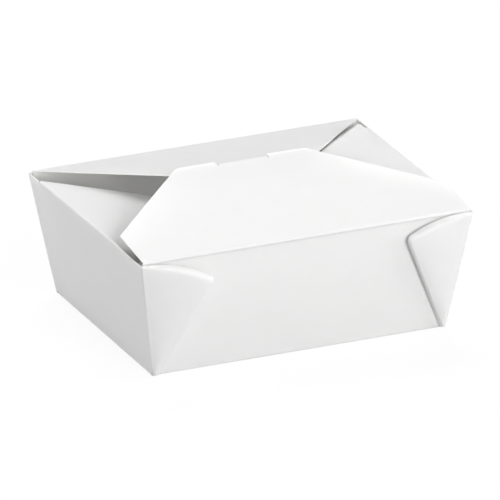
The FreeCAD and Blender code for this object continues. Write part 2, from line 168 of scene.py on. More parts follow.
# What follows from the sizes
LENGTH_FLARE = (RIM_LENGTH - BOTTOM_LENGTH) / 2
WIDTH_FLARE = (RIM_WIDTH - BOTTOM_WIDTH) / 2
LONG_LEAN = math.atan(WIDTH_FLARE / BOX_HEIGHT)
SIDE_LEAN = math.atan(LENGTH_FLARE / BOX_HEIGHT)
WALL_JOIN = math.acos(math.sin(LONG_LEAN) * math.sin(SIDE_LEAN))
LONG_FAN = math.atan(LENGTH_FLARE / math.hypot(BOX_HEIGHT, WIDTH_FLARE))
SIDE_FAN = math.atan(WIDTH_FLARE / math.hypot(BOX_HEIGHT, LENGTH_FLARE))
WEB_ANGLE = (math.pi / 2 - LONG_FAN - SIDE_FAN) / 2
PLEAT_INSET = 2 * BOARD + 1.5 * PLY_GAP
OUTER_RADIUS = CREASE_RADIUS + BOARD
MIDDLE_RADIUS = CREASE_RADIUS + BOARD / 2
FLAP_HALF = RIM_LENGTH / 2 - PLEAT_INSET / math.cos(LONG_FAN)
HINGE = np.array(frame["joints"][0]["pos_m"])
TO_BACK_RIM = RIM_WIDTH / 2 - HINGE[1]
RIDGE_BACK = (
    TO_BACK_RIM * math.tan(FRONT_FLAP_RISE)
    - (BOX_HEIGHT - HINGE[2])
    - (BOARD / 2 + FLAP_CLEARANCE) / math.cos(FRONT_FLAP_RISE)
) / (math.tan(FRONT_FLAP_RISE) + math.tan(BACK_FLAP_RISE))
TONGUE_ROOT = (TO_BACK_RIM - RIDGE_BACK) / math.cos(FRONT_FLAP_RISE) + TONGUE_PAST_RIDGE
FRONT_FLAP_REACH = TONGUE_ROOT + FRONT_FLAP_BRIM
CORNER_LINE = np.array([-LENGTH_FLARE, -WIDTH_FLARE, BOX_HEIGHT])
WEB_REACH = math.hypot(*CORNER_LINE) - WEB_SHORT
SIDE_FLAP_TURN = math.pi / 2 + SIDE_LEAN + SIDE_FLAP_DIP
SIDE_SLOPE = math.hypot(BOX_HEIGHT, LENGTH_FLARE)
SHOULDER_TOP = (
    SIDE_SLOPE * (1 - SIDE_DROP / BOX_HEIGHT)
    - OUTER_RADIUS * math.tan(SIDE_FLAP_TURN / 2)
    + MIDDLE_RADIUS * SIDE_FLAP_TURN / 2
)


def directed(angle):
    """A unit direction in a plane, at an angle from its first axis."""
    return np.array([math.cos(angle), math.sin(angle)])


def rounded(corners, radii):
    """A line through corners in a plane, each corner an arc tangent to the runs on its two sides.

    Gives its points in order: the first corner, ARC_STEPS + 1 points for each arc, and the last corner.
    """
    corners = np.asarray(corners, float)
    runs = np.diff(corners, axis=0)
    runs /= np.linalg.norm(runs, axis=1, keepdims=True)
    line = [corners[:1]]
    for corner, before, after, radius in zip(corners[1:-1], runs[:-1], runs[1:], radii):
        turn = math.atan2(before[0] * after[1] - before[1] * after[0], before @ after)
        inward = math.copysign(1, turn) * np.array([-before[1], before[0]])
        start = corner - before * radius * math.tan(abs(turn) / 2)
        angle = np.linspace(0, abs(turn), ARC_STEPS + 1)[:, None]
        line.append(start + radius * (np.sin(angle) * before + (1 - np.cos(angle)) * inward))
    line.append(corners[-1:])
    return np.concatenate(line)


def along(line):
    """The distance of each point of a line from its start, along the line."""
    return np.concatenate([[0], np.cumsum(np.linalg.norm(np.diff(line, axis=0), axis=1))])


def arc_ends(distance, corner):
    """The distances at which the arc of the corner with that number starts and ends."""
    return distance[1 + (corner - 1) * (ARC_STEPS + 1)], distance[corner * (ARC_STEPS + 1)]


def inset(corners, depth):
    """A line of corners moved to the left of its course by a depth, each along its two normals' sum."""
    corners = np.asarray(corners, float)
    runs = np.diff(corners, axis=0)
    runs /= np.linalg.norm(runs, axis=1, keepdims=True)
    normals = np.stack([-runs[:, 1], runs[:, 0]], axis=1)
    before = np.concatenate([normals[:1], normals])
    after = np.concatenate([normals, normals[-1:]])
    share = 1 + np.sum(before * after, axis=1, keepdims=True)
    return corners + depth * (before + after) / share


def stations(*lines):
    """Distances for a grid's rows: all those in the lines, with the long runs between them divided evenly."""
    marks = np.unique(np.round(np.concatenate(lines), MARK_DIGITS))
    runs = [
        np.linspace(start, end, max(1, math.ceil((end - start) / PANEL_STEP)), endpoint=False)
        for start, end in zip(marks[:-1], marks[1:])
    ]
    return np.concatenate([*runs, marks[-1:]])


def carried(line, distance):
    """Points of a line at distances from its start, by straight interpolation."""
    known = along(line)
    return np.stack([np.interp(distance, known, line[:, axis]) for axis in range(2)], axis=1)


def smooth(share):
    """A smooth step s^2 (3 - 2s) of a share s from 0 to 1."""
    return share * share * (3 - 2 * share)


def waves(x, y, z):
    """Slow waves: sin(61x + 1.3) sin(83y + 0.4) + 0.6 sin(127x - 90y) + 0.4 sin(150(y + z)), in radians."""
    crossed = np.sin(61 * x + 1.3) * np.sin(83 * y + 0.4)
    return crossed + 0.6 * np.sin(127 * x - 90 * y) + 0.4 * np.sin(150 * (y + z))


def settled(points):
    """The middle of the board after it has settled.

    Each wall bows out by WALL_BOW times 4h(1 - h), h being the height over the rim's, falling off as one
    minus the square of the way to its corners. The lid rises by LID_CROWN times (1 - u^2)(1 - v^2), u and v
    being the shares of the half length and half width, as a smooth step from LID_STARTS of the height. The
    front left corner is drawn in along the box by CORNER_PULL times h(1 - u)(1 - v)/4. Slow waves add a faint
    unevenness to all of it.
    """
    x, y, z = np.moveaxis(points, -1, 0)
    u = x / (RIM_LENGTH / 2)
    v = y / (RIM_WIDTH / 2)
    h = z / BOX_HEIGHT
    within_length = np.clip(1 - u * u, 0, 1)
    within_width = np.clip(1 - v * v, 0, 1)
    level = np.clip(h, 0, 1)
    bow = WALL_BOW * 4 * level * (1 - level)
    lid = smooth(np.clip((h - LID_STARTS) / LID_EASE, 0, 1)) * within_length * within_width
    moved = points.copy()
    moved[..., 0] += bow * u ** 3 * within_width + CORNER_PULL * h * (1 - u) * (1 - v) / 4
    moved[..., 1] += bow * v ** 3 * within_length
    moved[..., 2] += LID_CROWN * lid + WAVINESS * waves(x, y, z) * (level * within_length * within_width)
    return moved


class Board:
    """Sheets of board gathered into one mesh, each a grid on its middle that gets the board's thickness."""

    def __init__(self):
        self.points = []
        self.faces = []
        self.sides = []
        self.count = 0

    def add(self, grid, keep=None):
        """Add a grid whose cross product, along a row and then down a column, points outside.

        The outer and inner faces lie half a board from the middle along the normal, and a wall of cut board
        closes each border between a kept quad and none.
        """
        rows, columns = grid.shape[:2]
        keep = np.ones((rows - 1, columns - 1), bool) if keep is None else keep
        middle = settled(grid)
        down = np.gradient(middle, axis=0)
        across = np.gradient(middle, axis=1)
        normal = np.cross(across, down)
        normal /= np.maximum(np.linalg.norm(normal, axis=-1, keepdims=True), NO_AREA)
        outer = np.arange(rows * columns).reshape(rows, columns)
        inner = outer + rows * columns
        quads = [outer[:-1, :-1], outer[:-1, 1:], outer[1:, 1:], outer[1:, :-1]]
        outside = np.stack(quads, axis=-1)[keep]
        inside = outside[:, ::-1] + rows * columns
        padded = np.pad(keep, 1)
        walls = []
        for first, second, here, there in (
            (outer[:, :-1], outer[:, 1:], padded[1:, 1:-1], padded[:-1, 1:-1]),
            (outer[:, 1:], outer[:, :-1], padded[:-1, 1:-1], padded[1:, 1:-1]),
            (outer[1:, :], outer[:-1, :], padded[1:-1, 1:], padded[1:-1, :-1]),
            (outer[:-1, :], outer[1:, :], padded[1:-1, :-1], padded[1:-1, 1:]),
        ):
            border = here & ~there
            first, second = first[border], second[border]
            wall = np.stack([second, first, first + rows * columns, second + rows * columns], axis=-1)
            walls.append(wall)
        walls = np.concatenate(walls)
        both = np.concatenate([middle + normal * BOARD / 2, middle - normal * BOARD / 2])
        self.points.append(both.reshape(-1, 3))
        self.faces.append(np.concatenate([outside, inside, walls]) + self.count)
        self.sides.append(np.repeat([0, 1, 2], [len(outside), len(inside), len(walls)]))
        self.count += 2 * rows * columns

    def mesh(self, name, materials):
        """The gathered sheets as one object, with its unused points left out."""
        faces = np.concatenate(self.faces)
        used, faces = np.unique(faces, return_inverse=True)
        points = np.concatenate(self.points)[used]
        data = bpy.data.meshes.new(name)
        data.from_pydata(points, [], faces.reshape(-1, 4))
        data.polygons.foreach_set("material_index", np.concatenate(self.sides).astype(np.int32))
        for material in materials:
            data.materials.append(material)
        data.shade_smooth()
        data.set_sharp_from_angle(angle=SHARP_ANGLE)
        piece = bpy.data.objects.new(name, data)
        bpy.context.scene.collection.objects.link(piece)
        return piece


def tabbed_strip(board, sheet, sheet_edge, tab, tab_edge, notch_at, notch, place):
    """A strip of board with a tab in its middle, as a profile carried across the box for each of the two.

    A point is its profile's at the row's distance, moved sideways by the column's share of the half width
    there, which its edge line gives. From notch_at on, a notch on each side parts the tab from the sheet,
    which ends sooner.
    """
    rows = stations(along(sheet), along(tab), sheet_edge[:, 0], tab_edge[:, 0], [notch_at])
    half = np.interp(rows, sheet_edge[:, 0], sheet_edge[:, 1])
    tab_half = np.interp(rows, tab_edge[:, 0], tab_edge[:, 1])
    notch_half = tab_edge[0, 1] + notch
    tab_count = 2 * math.ceil(tab_edge[0, 1] / PANEL_STEP)
    sheet_count = math.ceil((half.max() - notch_half) / PANEL_STEP)
    middle = tab_half[:, None] * np.linspace(-1, 1, tab_count + 1)
    right = notch_half + (half[:, None] - notch_half) * np.linspace(0, 1, sheet_count + 1)
    side = np.concatenate([-right[:, ::-1], middle, right], axis=1)
    in_tab = np.abs(np.arange(side.shape[1]) - (side.shape[1] - 1) / 2) <= tab_count / 2
    point = np.where(in_tab[None, :, None], carried(tab, rows)[:, None], carried(sheet, rows)[:, None])

    quads_in_tab = in_tab[:-1] & in_tab[1:]
    quads_in_notch = in_tab[:-1] != in_tab[1:]
    limit = np.where(quads_in_notch, notch_at, np.where(quads_in_tab, rows[-1], along(sheet)[-1]))
    keep = (rows[:-1, None] + rows[1:, None]) / 2 < limit
    board.add(place(side, point[..., 0], point[..., 1]), keep)


def slit_place():
    """How far up the back flap the lock slit starts and ends, clear of the arc on which the tongue lifts."""
    fall = TONGUE_BEND - FRONT_FLAP_RISE
    axis = TONGUE_ROOT * directed(FRONT_FLAP_RISE) + MIDDLE_RADIUS * np.array(
        [math.sin(FRONT_FLAP_RISE), -math.cos(FRONT_FLAP_RISE)]
    )
    spoke = np.array([math.sin(fall), math.cos(fall)])
    fallen = np.array([math.cos(fall), -math.sin(fall)])
    inner = np.linalg.norm(axis + CREASE_RADIUS * spoke)
    outer = np.linalg.norm(axis + OUTER_RADIUS * spoke + TONGUE_REACH * fallen)
    level = BOX_HEIGHT - HINGE[2] + (TO_BACK_RIM - axis[0]) * math.tan(BACK_FLAP_RISE)
    far = TO_BACK_RIM + SLIT_PLAY - math.sqrt(inner ** 2 - level ** 2)
    near = TO_BACK_RIM - SLIT_PLAY - math.sqrt(outer ** 2 - (level - BOARD) ** 2)
    return near / math.cos(BACK_FLAP_RISE), far / math.cos(BACK_FLAP_RISE)


def long_strip(board):
    """Front wall, floor, back wall, back flap and lip, as one profile in the plane across the box.

    It starts SEAM_DROP below the front crease, where the front flap's piece begins, and the lock slit, with
    round ends, is left out of the back flap.
    """
    back_rim = np.array([RIM_WIDTH / 2, BOX_HEIGHT])
    ridge = back_rim + RIDGE_BACK * np.array([-1, math.tan(BACK_FLAP_RISE)])
    lip_end = ridge - BACK_LIP_REACH * directed(FRONT_FLAP_RISE)
    corners = inset(
        [
            (-RIM_WIDTH / 2, BOX_HEIGHT),
            (-BOTTOM_WIDTH / 2, 0),
            (BOTTOM_WIDTH / 2, 0),
            back_rim,
            ridge,
            lip_end,
        ],
        BOARD / 2,
    )
    wall_up = (corners[0] - corners[1]) / np.linalg.norm(corners[0] - corners[1])
    corners[0] = HINGE[1:] - SEAM_DROP * wall_up
    profile = rounded(corners, [MIDDLE_RADIUS, MIDDLE_RADIUS, MIDDLE_RADIUS, BOARD / 2])
    distance = along(profile)
    folds = [arc_ends(distance, corner) for corner in range(1, 5)]
    bottom_half = BOTTOM_LENGTH / 2 - PLEAT_INSET / math.cos(LONG_FAN)
    flap_start = folds[2][1]
    ridge_half = FLAP_HALF - (folds[3][0] - flap_start) * math.tan(BACK_FLAP_SLOPE)
    lip_half = FLAP_HALF - (distance[-1] - flap_start) * math.tan(BACK_FLAP_SLOPE)
    wall_top = FLAP_HALF - (BOX_HEIGHT - corners[0][1]) / BOX_HEIGHT * LENGTH_FLARE
    front_edge = [
        (0, wall_top),
        (folds[0][0], bottom_half),
        (folds[1][1], bottom_half),
        (folds[2][0], FLAP_HALF),
        (flap_start, FLAP_HALF),
    ]
    back_corners = [(folds[3][0], ridge_half), (distance[-1], lip_half), (distance[-1], 0)]
    edge = np.concatenate([front_edge, rounded(back_corners, [BACK_LIP_RADIUS])[:-1]])

    near, far = slit_place()
    rim_distance = (folds[2][0] + folds[2][1]) / 2
    slit_start = rim_distance + near
    slit_end = rim_distance + far
    slit_half = TONGUE_HALF + TONGUE_NOTCH
    slit_marks = np.linspace(slit_start, slit_end, SLIT_MARKS)
    rows = stations(distance, edge[:, 0], slit_marks)
    half = np.interp(rows, edge[:, 0], edge[:, 1])
    inner = np.linspace(-slit_half, slit_half, SLIT_COLUMNS)
    outer = np.linspace(0, 1, BESIDE_SLIT_COLUMNS + 1)[1:]
    end_radius = (slit_end - slit_start) / 2
    off_middle = np.clip(np.abs(rows - (slit_start + slit_end) / 2) / end_radius, 0, 1)
    in_slit = (rows >= slit_start - HAIR) & (rows <= slit_end + HAIR)
    shorter = np.where(in_slit, end_radius * (1 - np.sqrt(1 - off_middle ** 2)), 0)
    middle = inner[None, :] * (1 - shorter / slit_half)[:, None]
    right = middle[:, -1:] + (half[:, None] - middle[:, -1:]) * outer[None, :]
    side = np.concatenate([-right[:, ::-1], middle, right], axis=1)
    back, up = carried(profile, rows).T[..., None]
    grid = np.stack(np.broadcast_arrays(side, back, up), axis=-1)
    row_middle = (rows[:-1] + rows[1:]) / 2
    cut_rows = (row_middle > slit_start) & (row_middle < slit_end)
    columns = np.arange(side.shape[1] - 1)
    cut_columns = (columns >= len(outer)) & (columns < len(outer) + len(inner) - 1)
    keep = ~(cut_rows[:, None] & cut_columns[None, :])
    board.add(grid[:, ::-1], keep[:, ::-1])


def side_strip(board, hand):
    """A side wall with its flap as the tab: profiles in the plane along the box, left (-1) or right (1)."""
    rim_out = RIM_LENGTH / 2 - LENGTH_FLARE * SIDE_DROP / BOX_HEIGHT
    floor_end = np.array([SIDE_FLOOR_LAP - BOTTOM_LENGTH / 2, 0])
    bottom = np.array([-BOTTOM_LENGTH / 2, 0])
    rim = np.array([-rim_out, BOX_HEIGHT - SIDE_DROP])
    flap_tip = rim + SIDE_FLAP_REACH * directed(-SIDE_FLAP_DIP)
    shoulder = bottom + (rim - bottom) * SHOULDER_TOP / np.linalg.norm(rim - bottom)
    wall = rounded(inset([floor_end, bottom, shoulder], -BOARD / 2), [MIDDLE_RADIUS])
    flap = rounded(inset([floor_end, bottom, rim, flap_tip], -BOARD / 2), [MIDDLE_RADIUS, MIDDLE_RADIUS])
    wall_end = along(wall)[-1]
    flap_end = along(flap)[-1]
    bottom_fold = arc_ends(along(wall), 1)
    flap_fold = arc_ends(along(flap), 2)
    bottom_half = BOTTOM_WIDTH / 2 + side_overhang() / math.cos(SIDE_FAN)
    wall_edge = np.array(
        [
            (0, BOTTOM_WIDTH / 2 - OUTER_RADIUS),
            (bottom_fold[0], BOTTOM_WIDTH / 2 - OUTER_RADIUS),
            (bottom_fold[1], bottom_half),
            (wall_end, bottom_half + WIDTH_FLARE * SHOULDER_TOP / SIDE_SLOPE),
        ]
    )
    flap_half = RIM_WIDTH / 2 - SIDE_FLAP_MARGIN
    end_half = flap_half - (flap_end - flap_fold[1]) * math.tan(SIDE_FLAP_TAPER)
    flap_corners = [(flap_fold[1], flap_half), (flap_end, end_half), (flap_end, 0)]
    flap_edge = np.concatenate([[(0, flap_half)], rounded(flap_corners, [SIDE_FLAP_RADIUS])[:-1]])

    def place(side, out, up):
        """The strip in the box, with its curled ends.

        One rises by its height times (1 - depth/reach)^CURL_POWER, depth being the way in from the slanted
        edge. It eases in from the crease as a smooth step, and grows by CURL_GROWTH to the flap's end.
        """
        run = out + RIM_LENGTH / 2
        edge = flap_half - run * math.tan(SIDE_FLAP_TAPER)
        for (curled, end), (height, reach, start) in FLAP_CURLS.items():
            ease = np.clip(run / start, 0, 1)
            grown = smooth(ease) * (1 + CURL_GROWTH * run / SIDE_FLAP_REACH)
            depth = (edge - end * hand * side) * math.cos(SIDE_FLAP_TAPER)
            share = np.clip(1 - depth / reach, 0, CURL_MOST) ** CURL_POWER
            up = up + height * share * grown * (curled == hand) * (up > CURLS_ABOVE * BOX_HEIGHT)
        return np.stack([-hand * out, hand * side, up], axis=-1)

    tabbed_strip(board, wall, wall_edge, flap, flap_edge, flap_fold[0], SIDE_FLAP_RELIEF, place)


def side_overhang():
    """How far a side wall runs past the corner line, to wrap over the pleat."""
    inward, outward = outer_fold_centre()
    return inward * math.cos(WALL_JOIN) + outward * math.sin(WALL_JOIN)


def outer_fold_centre():
    """The axis of the pleat's last fold: in from the corner line, and out from the long wall's face."""
    height = 1.5 * PLY_GAP + BOARD - CREASE_RADIUS
    rise = height + math.cos(WEB_SPRING) * PLY_GAP / 2
    lever = math.sin(WEB_SPRING) * (OUTER_RADIUS / math.sin(WALL_JOIN) - PLEAT_INSET)
    slant = math.cos(WEB_SPRING) - math.sin(WEB_SPRING) / math.tan(WALL_JOIN)
    outward = (rise + lever) / slant
    inward = (OUTER_RADIUS + math.cos(WALL_JOIN) * outward) / math.sin(WALL_JOIN)
    return inward, outward


def web_outline(start_in, share, angle, reach):
    """Points of a ply's top edge by their share of its length, from the corner line at 0 to the fold at 1."""
    top = SHOULDER_TOP / math.cos(SIDE_FAN)
    fold = np.array([math.sin(angle), math.cos(angle)])
    square = np.array([math.cos(angle), -math.sin(angle)])
    tip = reach * fold
    knee = tip - WEB_SHOULDER * square
    below_tip = tip - WEB_TIP_RADIUS * fold
    line = rounded([(start_in, top), knee, tip, below_tip], [WEB_SHOULDER_RADIUS, WEB_TIP_RADIUS])
    return carried(line, share * along(line)[-1])


def web(board, hand_x, hand_y):
    """The pleat of one corner, as rows up it: inner fold, inner ply, edge fold, outer ply and outer fold.

    A ply's point lies on the straight line between the web's lowest edge and its top edge, both taken at the
    same share of the way from the corner line to the fold. Both plies bow out by WEB_BOW times the sine of pi
    times that share, and the outer one stands off by PLY_SPREAD more, which it loses exponentially towards
    the fold. Both lose all that exponentially towards the top edge too, where they are pinched by PLY_PINCH a
    ply, and this eases off as a fourth power towards the corner line. A fold's point turns about its axis
    from ply to ply.
    """
    twist, longer = WEB_TWIST.get((hand_x, hand_y), (0, 0))
    angle = WEB_ANGLE + twist
    reach = WEB_REACH + longer
    up = CORNER_LINE / np.linalg.norm(CORNER_LINE)
    out = np.array([0, -math.cos(LONG_LEAN), -math.sin(LONG_LEAN)])
    inward = np.cross(up, out)
    corner = np.array([-BOTTOM_LENGTH / 2, -BOTTOM_WIDTH / 2, 0])
    origin = corner + PLEAT_INSET * inward + PLY_GAP / 2 * out
    sprung_in = math.cos(WEB_SPRING) * inward + math.sin(WEB_SPRING) * out
    sprung_out = math.cos(WEB_SPRING) * out - math.sin(WEB_SPRING) * inward

    rise = (1 - np.linspace(1, 0, WEB_ROWS) ** WEB_ROW_POWER)[:, None]
    share = 1 - np.linspace(1, 0, WEB_COLUMNS) ** WEB_COLUMN_POWER
    middle = PLY_GAP / 2 + BOARD / 2

    def ply(start_in, across):
        """In-plane points of a ply, and its bow."""
        low_line = np.array([[start_in, OUTER_RADIUS], [OUTER_RADIUS * math.tan(angle), OUTER_RADIUS]])
        low = carried(low_line, across * along(low_line)[-1])
        top = web_outline(start_in, across, angle, reach)
        flat = low[None] * (1 - rise[..., None]) + top[None] * rise[..., None]
        bow = WEB_BOW * np.sin(math.pi * across)[None, :] * rise
        return flat, bow

    def raised(flat, height):
        """Points in the box, from points in the sprung web's plane and their heights off it."""
        return origin + flat[..., :1] * sprung_in + flat[..., 1:] * up + height[..., None] * sprung_out

    def pinched(flat, fold):
        """What is left over a ply of the standing off and of the pinching, given its column at the fold."""
        from_fold = np.linalg.norm(flat - flat[:, fold][:, None], axis=-1)
        from_top = np.linalg.norm(flat - flat[-1:], axis=-1)
        eased = 1 - (from_fold / np.maximum(from_fold.max(axis=1, keepdims=True), MM)) ** 4
        opened = 1 - np.exp(-from_fold / FOLD_ROUND)
        lip = np.exp(-from_top / LIP_ROUND)
        return opened * eased * (1 - lip), opened * eased * lip

    inner_flat, inner_bow = ply(0, share)
    outer_flat, outer_bow = ply(outer_fold_along(), share[::-1])
    inner_lip = pinched(inner_flat, -1)[1]
    outer_free, outer_lip = pinched(outer_flat, 0)
    inner_height = middle + inner_bow * (1 - inner_lip) - PLY_PINCH * inner_lip
    outer_height = 3 * middle + outer_bow * (1 - outer_lip)
    outer_height = outer_height + PLY_SPREAD * outer_free - 2 * PLY_PINCH * outer_lip

    turn = np.linspace(0, math.pi - WEB_SPRING, ARC_STEPS + 1)[None, :-1, None]
    wall_side = origin + inner_flat[:, :1, 1:] * up
    inner_fold = wall_side - middle * (np.cos(turn) * out + np.sin(turn) * inward)

    turn = np.linspace(0, math.pi, ARC_STEPS + 1)[None, 1:-1]
    fold_square = np.array([math.cos(angle), -math.sin(angle)])
    edge_flat = inner_flat[:, -1:] + middle * np.sin(turn)[..., None] * fold_square
    edge_fold = raised(edge_flat, 2 * middle - middle * np.cos(turn))

    turn = np.linspace(0, WALL_JOIN - WEB_SPRING, ARC_STEPS + 1)[None, 1:]
    last_flat = outer_flat[:, -1:] - MIDDLE_RADIUS * np.sin(turn)[..., None] * np.array([1, 0])
    outer_fold = raised(last_flat, 3 * middle - MIDDLE_RADIUS * (1 - np.cos(turn)))

    inner_ply = raised(inner_flat, inner_height)
    outer_ply = raised(outer_flat, outer_height)
    grid = np.concatenate([inner_fold, inner_ply, edge_fold, outer_ply, outer_fold], axis=1)
    grid = grid * np.array([-hand_x, -hand_y, 1])
    board.add(grid if hand_x * hand_y < 0 else grid[:, ::-1])


def outer_fold_along():
    """Where the pleat's last fold starts, along the sprung web from its frame."""
    inward, outward = outer_fold_centre()
    along_wall = inward - PLEAT_INSET
    off_wall = outward - PLY_GAP / 2
    return math.cos(WEB_SPRING) * along_wall + math.sin(WEB_SPRING) * off_wall


def front_flap(board):
    """The crease at the front rim, the flap and its tongue: two profiles across the box."""
    wall_up = np.array([-math.sin(LONG_LEAN), math.cos(LONG_LEAN)])
    flap_way = directed(FRONT_FLAP_RISE)
    hinge = HINGE[1:]
    seam = hinge - SEAM_DROP * wall_up
    flat = rounded([seam, hinge, hinge + FRONT_FLAP_REACH * flap_way], [FRONT_CREASE_RADIUS])
    flat_distance = along(flat)
    fold = arc_ends(flat_distance, 1)
    hinge_at = flat_distance[-1] - FRONT_FLAP_REACH
    tongue_way = directed(FRONT_FLAP_RISE - TONGUE_BEND)
    run = MIDDLE_RADIUS * math.tan(TONGUE_BEND / 2)
    bend = hinge + (TONGUE_ROOT + run) * flap_way
    bent = rounded(
        [seam, hinge, bend, bend + (TONGUE_REACH + run) * tongue_way],
        [FRONT_CREASE_RADIUS, MIDDLE_RADIUS],
    )
    bent_distance = along(bent)
    tongue_fold = arc_ends(bent_distance, 2)

    outline = rounded(
        [
            (fold[1], FLAP_HALF),
            (hinge_at + FRONT_FLAP_SIDE, FRONT_FLAP_SHOULDER),
            (flat_distance[-1], FRONT_FLAP_EDGE),
            (flat_distance[-1], 0),
        ],
        [FRONT_FLAP_RADIUS, FRONT_FLAP_RADIUS],
    )[:-1]
    outline = np.concatenate([[(0, FLAP_HALF - SEAM_DROP * math.tan(LONG_FAN))], outline])
    tongue = rounded(
        [
            (tongue_fold[1], TONGUE_HALF),
            (bent_distance[-1], TONGUE_HALF - TONGUE_TAPER),
            (bent_distance[-1], 0),
        ],
        [TONGUE_RADIUS],
    )[:-1]
    tongue = np.concatenate([[(0, TONGUE_HALF)], tongue])
    notch_at = hinge_at + TONGUE_ROOT - TONGUE_NOTCH

    def place(side, back, up):
        """The strip in the box: its side, back and up are X, Y and Z."""
        return np.stack([side, back, up], axis=-1)

    tabbed_strip(board, flat, outline, bent, tongue, notch_at, TONGUE_NOTCH, place)


def bottom_points(board):
    """The small puckered point where floor, walls and web meet at each bottom corner: a low dome."""
    turn = np.linspace(0, 2 * math.pi, POINT_COLUMNS)
    rise = np.linspace(0, math.pi / 2, POINT_ROWS)[:, None]
    sphere = (np.cos(rise) * np.cos(turn), np.cos(rise) * np.sin(turn), -np.sin(rise))
    dome = np.stack(np.broadcast_arrays(*sphere), axis=-1) * POINT_RADIUS
    corner = np.array([-BOTTOM_LENGTH / 2, -BOTTOM_WIDTH / 2, POINT_RADIUS])
    centre = corner + np.array([POINT_IN, POINT_BACK, BOARD / 2])
    for hand_x, hand_y in CORNERS:
        board.add((centre + dome) * np.array([-hand_x, -hand_y, 1]))


def node(tree, kind, place, **inputs):
    """A shader node with its inputs set, found by name with spaces written as underscores."""
    made = tree.nodes.new(kind)
    made.location = place
    for name, value in inputs.items():
        made.inputs[name.replace("_", " ")].default_value = value
    return made


# The board's fibres: how much they vary its roughness, and how high they stand
FIBRE_ROUGHNESS = 0.12
FIBRE_HEIGHT = 0.04 * MM


def paper_surface():
    """A node group for board: fibres and faint mottling, as a tint, a roughness and a normal."""
    group = bpy.data.node_groups.new("paper surface", "ShaderNodeTree")
    interface = group.interface
    interface.new_socket("Colour", in_out="INPUT", socket_type="NodeSocketColor")
    interface.new_socket("Mottling", in_out="INPUT", socket_type="NodeSocketFloat")
    interface.new_socket("Roughness", in_out="INPUT", socket_type="NodeSocketFloat")
    interface.new_socket("Relief", in_out="INPUT", socket_type="NodeSocketFloat")
    interface.new_socket("Colour", in_out="OUTPUT", socket_type="NodeSocketColor")
    interface.new_socket("Roughness", in_out="OUTPUT", socket_type="NodeSocketFloat")
    interface.new_socket("Normal", in_out="OUTPUT", socket_type="NodeSocketVector")
    entry = node(group, "NodeGroupInput", (-900, 0))
    leave = node(group, "NodeGroupOutput", (900, 0))
    place = node(group, "ShaderNodeTexCoord", (-900, -300))
    link = group.links.new

    stretch = node(group, "ShaderNodeMapping", (-700, -300), Scale=(1.0, 0.35, 1.0))
    link(place.outputs["Object"], stretch.inputs["Vector"])
    fibre = node(group, "ShaderNodeTexNoise", (-500, -300), Scale=2600.0, Detail=4.0, Roughness=0.65)
    fibre.inputs["Distortion"].default_value = 0.6
    link(stretch.outputs["Vector"], fibre.inputs["Vector"])
    cloud = node(group, "ShaderNodeTexNoise", (-500, 100), Scale=95.0, Detail=5.0, Roughness=0.6)
    link(place.outputs["Object"], cloud.inputs["Vector"])

    uneven = node(group, "ShaderNodeMath", (-250, 100))
    uneven.operation = "SUBTRACT"
    link(cloud.outputs["Fac"], uneven.inputs[0])
    uneven.inputs[1].default_value = 0.5
    amount = node(group, "ShaderNodeMath", (-80, 100))
    amount.operation = "MULTIPLY_ADD"
    link(uneven.outputs["Value"], amount.inputs[0])
    link(entry.outputs["Mottling"], amount.inputs[1])
    amount.inputs[2].default_value = 1.0
    tint = node(group, "ShaderNodeVectorMath", (120, 200))
    tint.operation = "SCALE"
    link(entry.outputs["Colour"], tint.inputs["Vector"])
    link(amount.outputs["Value"], tint.inputs["Scale"])
    link(tint.outputs["Vector"], leave.inputs["Colour"])

    rough = node(group, "ShaderNodeMath", (120, 0))
    rough.operation = "MULTIPLY_ADD"
    link(fibre.outputs["Fac"], rough.inputs[0])
    rough.inputs[1].default_value = FIBRE_ROUGHNESS
    link(entry.outputs["Roughness"], rough.inputs[2])
    link(rough.outputs["Value"], leave.inputs["Roughness"])

    bump = node(group, "ShaderNodeBump", (500, -300), Distance=FIBRE_HEIGHT)
    link(fibre.outputs["Fac"], bump.inputs["Height"])
    link(entry.outputs["Relief"], bump.inputs["Strength"])
    link(bump.outputs["Normal"], leave.inputs["Normal"])
    return group


# Light that soaks through thin board: its share, and how far it gets
TRANSLUCENCY = 0.9
LIGHT_REACH = 1.5 * MM


def board_material(name, surface, colour, mottling, roughness, relief, gloss):
    """A finish of the board: the paper surface with its own values, on a shader with its own gloss."""
    material = bpy.data.materials.new(name)
    material.use_nodes = True
    tree = material.node_tree
    shader = tree.nodes["Principled BSDF"]
    shader.inputs["Specular IOR Level"].default_value = gloss
    shader.inputs["Subsurface Weight"].default_value = TRANSLUCENCY
    shader.inputs["Subsurface Radius"].default_value = (1.0, 1.0, 1.0)
    shader.inputs["Subsurface Scale"].default_value = LIGHT_REACH
    paper = node(tree, "ShaderNodeGroup", (-300, 0))
    paper.node_tree = surface
    paper.inputs["Colour"].default_value = (*colour, 1.0)
    paper.inputs["Mottling"].default_value = mottling
    paper.inputs["Roughness"].default_value = roughness
    paper.inputs["Relief"].default_value = relief
    tree.links.new(paper.outputs["Colour"], shader.inputs["Base Color"])
    tree.links.new(paper.outputs["Roughness"], shader.inputs["Roughness"])
    tree.links.new(paper.outputs["Normal"], shader.inputs["Normal"])
    return material


